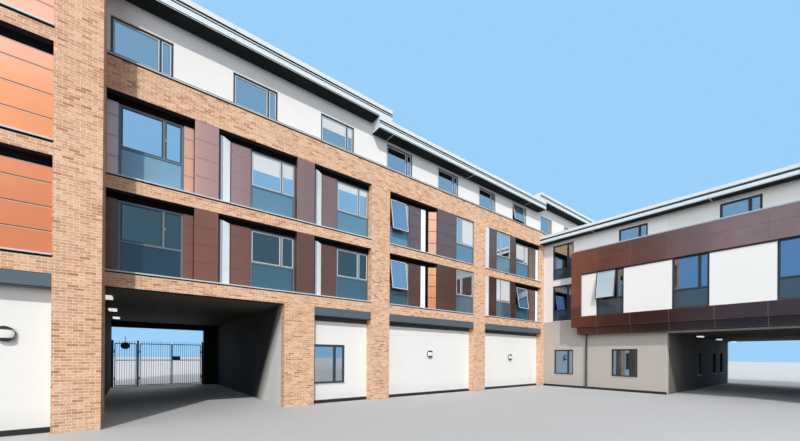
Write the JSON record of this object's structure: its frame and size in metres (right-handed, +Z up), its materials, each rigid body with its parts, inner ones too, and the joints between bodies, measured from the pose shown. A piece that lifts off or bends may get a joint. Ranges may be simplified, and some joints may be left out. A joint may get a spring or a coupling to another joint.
{
  "type": "1:2 scale model apartment block",
  "caption": "Half-size courtyard apartment block in two wings, with brick piers and bands, saw-tooth cladding bays, a projecting box, drive-through passages and swinging railing gates.",
  "frame": {"origin": "on the floor, under the middle of the whole building's box", "axes": "+X along the long wing towards the short wing, +Y from the court through the long wing to its rear, +Z up"},
  "size_m": [22.45, 17.75, 6.7],
  "materials": {
    "brick": "matte brick",
    "brown_panel": "satin cladding sheet",
    "white_render": "matte render",
    "slate_metal": "satin blue-grey",
    "frame": "satin",
    "glass": "clear",
    "concrete": "matte concrete",
    "roof": "satin light grey",
    "black_metal": "satin black"
  },
  "bodies": {
    "building": {"block_piers": "brick", "block_bands": "brick", "block_panels": "brown_panel", "block_side_walls": "brick", "front_piers": "brick", "front_bands": "brick", "front_brown_panels": "brown_panel", "front_white_panels": "white_render", "front_dark_strips": "slate_metal", "front_window_frames": "frame", "front_window_glass": "glass", "front_spandrels": "slate_metal", "open_sashes": "frame", "front_sills": "slate_metal", "ground_walls": "white_render", "ground_fascias": "slate_metal", "plinths": "black_metal", "top_wall": "white_render", "top_window_frames": "frame", "top_window_glass": "glass", "passage_walls": "white_render", "party_wall": "white_render", "floors": "concrete", "back_walls": "brick", "east_wall": "brick", "rear_window_frames": "frame", "rear_window_glass": "glass", "high_roofs": "roof", "middle_roof": "roof", "court_walls": "white_render", "court_window_frames": "frame", "court_window_glass": "glass", "box_bands": "brown_panel", "box_end_bands": "brown_panel", "box_base": "brown_panel", "box_white_panels": "white_render", "box_decks": "concrete", "short_end_wall": "white_render", "short_rear_walls": "white_render", "walls_over_passages": "white_render", "short_passage_walls": "white_render", "short_roof": "roof", "wall_fittings": "black_metal", "gate_posts": "black_metal"},
    "foot_gate": {"foot_gate": "black_metal"},
    "car_gate_left": {"car_gate_left": "black_metal"},
    "car_gate_right": {"car_gate_right": "black_metal"}
  },
  "joints": [
    {"name": "foot_gate_hinge", "type": "hinge", "parent": "building", "child": "foot_gate", "pos_m": [-8.94, 8.456, 0], "axis": [0, 0, -1], "range_deg": [0, 90]},
    {"name": "left_car_gate_hinge", "type": "hinge", "parent": "building", "child": "car_gate_left", "pos_m": [-8.33, 8.456, 0], "axis": [0, 0, -1], "range_deg": [0, 90]},
    {"name": "right_car_gate_hinge", "type": "hinge", "parent": "building", "child": "car_gate_right", "pos_m": [-6.665, 8.456, 0], "axis": [0, 0, 1], "range_deg": [0, 90]}
  ]
}
